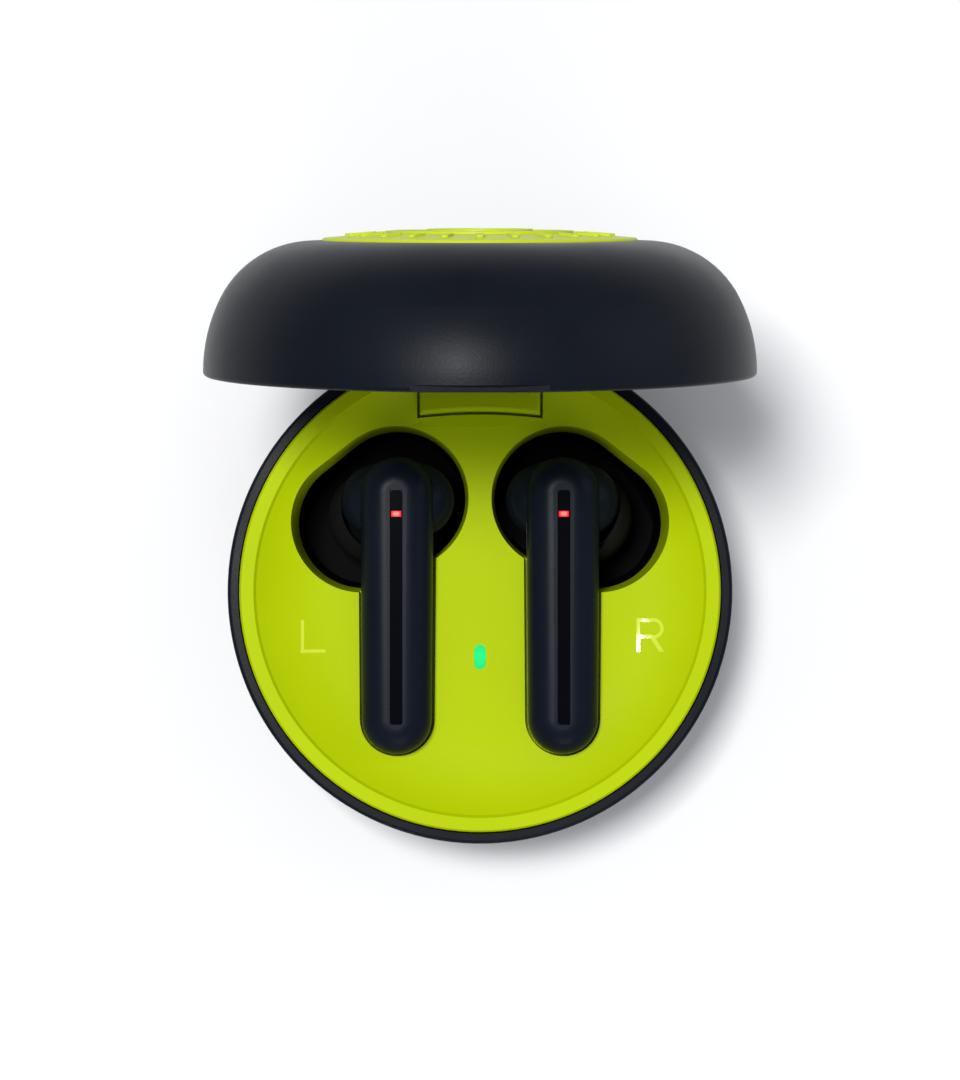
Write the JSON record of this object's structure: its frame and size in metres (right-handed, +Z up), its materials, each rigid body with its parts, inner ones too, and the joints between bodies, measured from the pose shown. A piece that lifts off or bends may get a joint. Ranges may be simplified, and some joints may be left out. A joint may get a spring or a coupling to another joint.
{
  "type": "wireless earbuds charging case",
  "caption": "Round hinged charging case with dished tray, docked stem earbuds that lift out, sprung charging contacts, rear charging port and status light",
  "frame": {"origin": "centre of the base's flat foot", "axes": "+Z up from the foot, +Y to the hinge and the charging port, +X to the right earbud with the lid's opening facing -Y; lid open at rest"},
  "size_m": [0.06, 0.071, 0.0783],
  "materials": {
    "navy_plastic": "fine satin moulded plastic",
    "lime_plastic": "soft satin coloured plastic",
    "black_plastic": "fine textured black plastic",
    "gloss_black": "polished black plastic",
    "gloss_lime": "polished coloured fill",
    "badge_lime": "satin coloured plastic with raised relief",
    "silicone": "soft matte silicone",
    "steel": "fine drawn steel",
    "gold": "gold flash on brass",
    "board_green": "solder mask over glass fibre",
    "cell_wrap": "silvery cell film",
    "foam": "dense dark foam",
    "status_green": "lit green lens",
    "charge_red": "lit red lens",
    "flex_amber": "amber polyimide film",
    "wire_red": "soft wire cover",
    "magnet_nickel": "nickel plated magnet"
  },
  "bodies": {
    "base": {"base_shell": "navy_plastic", "tray": "lime_plastic", "side_letters": "gloss_lime", "hinge_cover": "lime_plastic", "cradle": "black_plastic", "hinge_pin": "steel", "battery": "cell_wrap", "battery_pad": "foam", "battery_leads": "wire_red", "main_board": "board_green", "board_chips": "gloss_black", "status_led": "status_green", "status_lens": "status_green", "usb_board": "board_green", "usb_shell": "steel", "usb_tongue": "black_plastic", "flex_cable": "flex_amber", "board_screws": "steel", "catch_magnets": "magnet_nickel", "dock_magnets": "magnet_nickel", "pogo_housings": "gold", "spring_left_rear": "steel", "spring_left_front": "steel", "spring_right_rear": "steel", "spring_right_front": "steel"},
    "lid": {"lid_shell": "navy_plastic", "lid_liner": "black_plastic", "lid_magnets": "magnet_nickel", "badge_tape": "foam", "lid_badge": "badge_lime"},
    "bud_left": {"bud_shell_left": "navy_plastic", "stem_cover_left": "navy_plastic", "touch_strip_left": "gloss_black", "bud_led_left": "charge_red", "ear_tip_left": "silicone", "nozzle_mesh_left": "steel", "driver_left": "black_plastic", "bud_battery_left": "cell_wrap", "bud_board_left": "board_green", "bud_mic_left": "steel", "bud_contacts_left": "gold", "bud_magnet_left": "magnet_nickel"},
    "bud_right": {"bud_shell_right": "navy_plastic", "stem_cover_right": "navy_plastic", "touch_strip_right": "gloss_black", "bud_led_right": "charge_red", "ear_tip_right": "silicone", "nozzle_mesh_right": "steel", "driver_right": "black_plastic", "bud_battery_right": "cell_wrap", "bud_board_right": "board_green", "bud_mic_right": "steel", "bud_contacts_right": "gold", "bud_magnet_right": "magnet_nickel"},
    "plunger_left_rear": {"plunger_left_rear": "gold"},
    "plunger_left_front": {"plunger_left_front": "gold"},
    "plunger_right_rear": {"plunger_right_rear": "gold"},
    "plunger_right_front": {"plunger_right_front": "gold"}
  },
  "joints": [
    {"name": "lid_hinge", "type": "hinge", "parent": "base", "child": "lid", "pos_m": [0, 0.0274, 0.0211], "axis": [-1, 0, 0], "range_deg": [-83, 0]},
    {"name": "bud_left_lift", "type": "slide", "parent": "base", "child": "bud_left", "axis": [0, 0, 1], "range_m": [0, 0.036]},
    {"name": "bud_right_lift", "type": "slide", "parent": "base", "child": "bud_right", "axis": [0, 0, 1], "range_m": [0, 0.036]},
    {"name": "plunger_left_rear_press", "type": "slide", "parent": "base", "child": "plunger_left_rear", "axis": [0, 0, 1], "range_m": [-0.0005, 0], "stiffness_N_per_m": 120, "springref_m": 0.0004, "deforming": ["spring_left_rear"]},
    {"name": "plunger_left_front_press", "type": "slide", "parent": "base", "child": "plunger_left_front", "axis": [0, 0, 1], "range_m": [-0.0005, 0], "stiffness_N_per_m": 120, "springref_m": 0.0004, "deforming": ["spring_left_front"]},
    {"name": "plunger_right_rear_press", "type": "slide", "parent": "base", "child": "plunger_right_rear", "axis": [0, 0, 1], "range_m": [-0.0005, 0], "stiffness_N_per_m": 120, "springref_m": 0.0004, "deforming": ["spring_right_rear"]},
    {"name": "plunger_right_front_press", "type": "slide", "parent": "base", "child": "plunger_right_front", "axis": [0, 0, 1], "range_m": [-0.0005, 0], "stiffness_N_per_m": 120, "springref_m": 0.0004, "deforming": ["spring_right_front"]}
  ]
}
